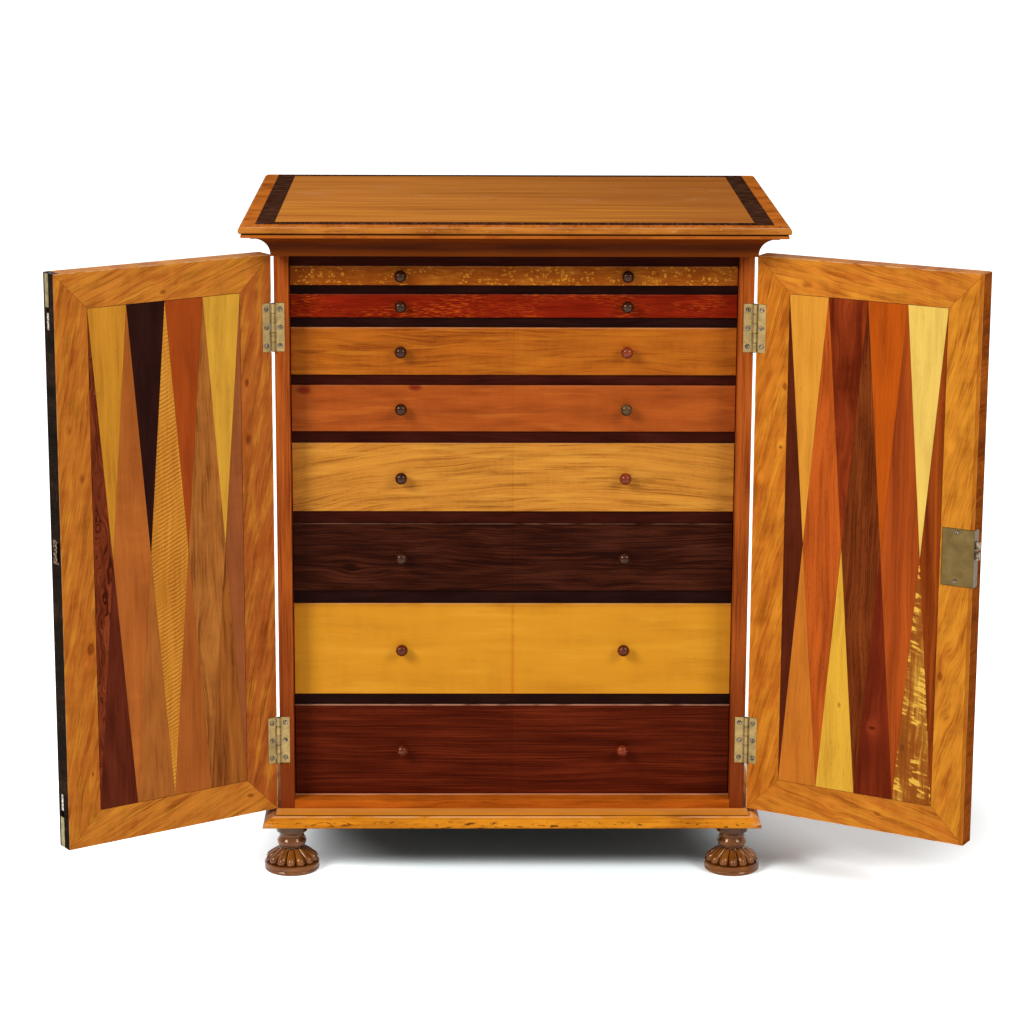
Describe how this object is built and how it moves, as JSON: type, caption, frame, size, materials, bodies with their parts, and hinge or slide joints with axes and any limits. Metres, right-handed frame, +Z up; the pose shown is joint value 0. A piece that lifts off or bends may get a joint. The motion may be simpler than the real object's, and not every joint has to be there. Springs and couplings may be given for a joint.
{
  "type": "collectors cabinet",
  "caption": "Table cabinet of graduated drawers behind two hinged, panelled doors, with moulded top and base on turned gadrooned feet",
  "frame": {"origin": "on the floor, below the middle of the bounding box of the cabinet with its doors open as they stand", "axes": "+Z up; +X to the right along the front, seen from in front; +Y from the front to the back, so the drawers open towards -Y"},
  "size_m": [0.9326, 0.5124, 0.6911],
  "materials": {
    "carcass_wood": "waxed mahogany",
    "dark_rail_wood": "dark polished wood",
    "base_wood": "polished golden wood with a rubbed edge",
    "cornice_wood": "polished brown wood",
    "top_wood": "polished veneer with a dark crossbanded border",
    "foot_wood": "french polished turned wood",
    "door_frame_wood": "waxed golden veneer",
    "door_parquetry": "parquetry of many woods, waxed",
    "back_wood": "plain planed boards",
    "rosewood": "glossy turned rosewood",
    "brass": "aged, unlacquered",
    "steel": "rubbed by use",
    "drawer_1_wood": "speckled gold-brown veneer, polished",
    "drawer_2_wood": "deep red figured veneer, polished",
    "drawer_3_wood": "flowing golden veneer, polished",
    "drawer_4_wood": "smooth orange-red veneer, polished",
    "drawer_5_wood": "golden veneer with brown lines, polished",
    "drawer_6_wood": "very dark figured veneer, polished",
    "drawer_7_wood": "bright yellow veneer, polished",
    "drawer_8_wood": "dark fine-grained veneer, polished"
  },
  "bodies": {
    "carcass": {"back_panel": "back_wood", "base_board": "base_wood", "carcass_bottom": "carcass_wood", "carcass_top": "dark_rail_wood", "cornice": "cornice_wood", "divider_1": "dark_rail_wood", "divider_2": "dark_rail_wood", "divider_3": "dark_rail_wood", "divider_4": "dark_rail_wood", "divider_5": "dark_rail_wood", "divider_6": "dark_rail_wood", "divider_7": "dark_rail_wood", "foot_front_left": "foot_wood", "foot_front_right": "foot_wood", "foot_rear_left": "foot_wood", "foot_rear_right": "foot_wood", "hinge_lower_left_fixed_leaf": "brass", "hinge_lower_right_fixed_leaf": "brass", "hinge_upper_left_fixed_leaf": "brass", "hinge_upper_right_fixed_leaf": "brass", "side_left": "carcass_wood", "side_right": "carcass_wood", "top_board": "top_wood", "top_rail": "dark_rail_wood"},
    "left_door": {"door_left_frame": "door_frame_wood", "door_left_panel": "door_parquetry", "hinge_lower_left_door_leaf": "brass", "hinge_upper_left_door_leaf": "brass"},
    "right_door": {"door_right_frame": "door_frame_wood", "door_right_panel": "door_parquetry", "hinge_lower_right_door_leaf": "brass", "hinge_upper_right_door_leaf": "brass", "lock_case": "brass"},
    "link_bolts": {"lock_bolts": "steel"},
    "upper_flush_bolt": {"flush_bolt_top": "brass"},
    "lower_flush_bolt": {"flush_bolt_bottom": "brass"},
    "drawer_1_unit": {"drawer_1": "drawer_1_wood", "drawer_1_knob_left": "rosewood", "drawer_1_knob_right": "rosewood"},
    "drawer_2_unit": {"drawer_2": "drawer_2_wood", "drawer_2_knob_left": "rosewood", "drawer_2_knob_right": "rosewood"},
    "drawer_3_unit": {"drawer_3": "drawer_3_wood", "drawer_3_knob_left": "rosewood", "drawer_3_knob_right": "rosewood"},
    "drawer_4_unit": {"drawer_4": "drawer_4_wood", "drawer_4_knob_left": "rosewood", "drawer_4_knob_right": "rosewood"},
    "drawer_5_unit": {"drawer_5": "drawer_5_wood", "drawer_5_knob_left": "rosewood", "drawer_5_knob_right": "rosewood"},
    "drawer_6_unit": {"drawer_6": "drawer_6_wood", "drawer_6_knob_left": "rosewood", "drawer_6_knob_right": "rosewood"},
    "drawer_7_unit": {"drawer_7": "drawer_7_wood", "drawer_7_knob_left": "rosewood", "drawer_7_knob_right": "rosewood"},
    "drawer_8_unit": {"drawer_8": "drawer_8_wood", "drawer_8_knob_left": "rosewood", "drawer_8_knob_right": "rosewood"}
  },
  "joints": [
    {"name": "left_door_hinge", "type": "hinge", "parent": "carcass", "child": "left_door", "pos_m": [-0.24987, -0.12045, 0], "axis": [0, 0, -1], "range_deg": [-146.3, 28.7]},
    {"name": "right_door_hinge", "type": "hinge", "parent": "carcass", "child": "right_door", "pos_m": [0.24273, -0.12045, 0], "axis": [0, 0, 1], "range_deg": [-150, 25]},
    {"name": "link_bolts_slide", "type": "slide", "parent": "right_door", "child": "link_bolts", "axis": [0.866, -0.5, 0], "range_m": [-0.0045, 0]},
    {"name": "upper_flush_bolt_slide", "type": "slide", "parent": "left_door", "child": "upper_flush_bolt", "axis": [0, 0, 1], "range_m": [0, 0.005]},
    {"name": "lower_flush_bolt_slide", "type": "slide", "parent": "left_door", "child": "lower_flush_bolt", "axis": [0, 0, -1], "range_m": [0, 0.005]},
    {"name": "drawer_1_slide", "type": "slide", "parent": "carcass", "child": "drawer_1_unit", "axis": [0, -1, 0], "range_m": [0, 0.25]},
    {"name": "drawer_2_slide", "type": "slide", "parent": "carcass", "child": "drawer_2_unit", "axis": [0, -1, 0], "range_m": [0, 0.25]},
    {"name": "drawer_3_slide", "type": "slide", "parent": "carcass", "child": "drawer_3_unit", "axis": [0, -1, 0], "range_m": [0, 0.25]},
    {"name": "drawer_4_slide", "type": "slide", "parent": "carcass", "child": "drawer_4_unit", "axis": [0, -1, 0], "range_m": [0, 0.25]},
    {"name": "drawer_5_slide", "type": "slide", "parent": "carcass", "child": "drawer_5_unit", "axis": [0, -1, 0], "range_m": [0, 0.25]},
    {"name": "drawer_6_slide", "type": "slide", "parent": "carcass", "child": "drawer_6_unit", "axis": [0, -1, 0], "range_m": [0, 0.25]},
    {"name": "drawer_7_slide", "type": "slide", "parent": "carcass", "child": "drawer_7_unit", "axis": [0, -1, 0], "range_m": [0, 0.25]},
    {"name": "drawer_8_slide", "type": "slide", "parent": "carcass", "child": "drawer_8_unit", "axis": [0, -1, 0], "range_m": [0, 0.25]}
  ]
}
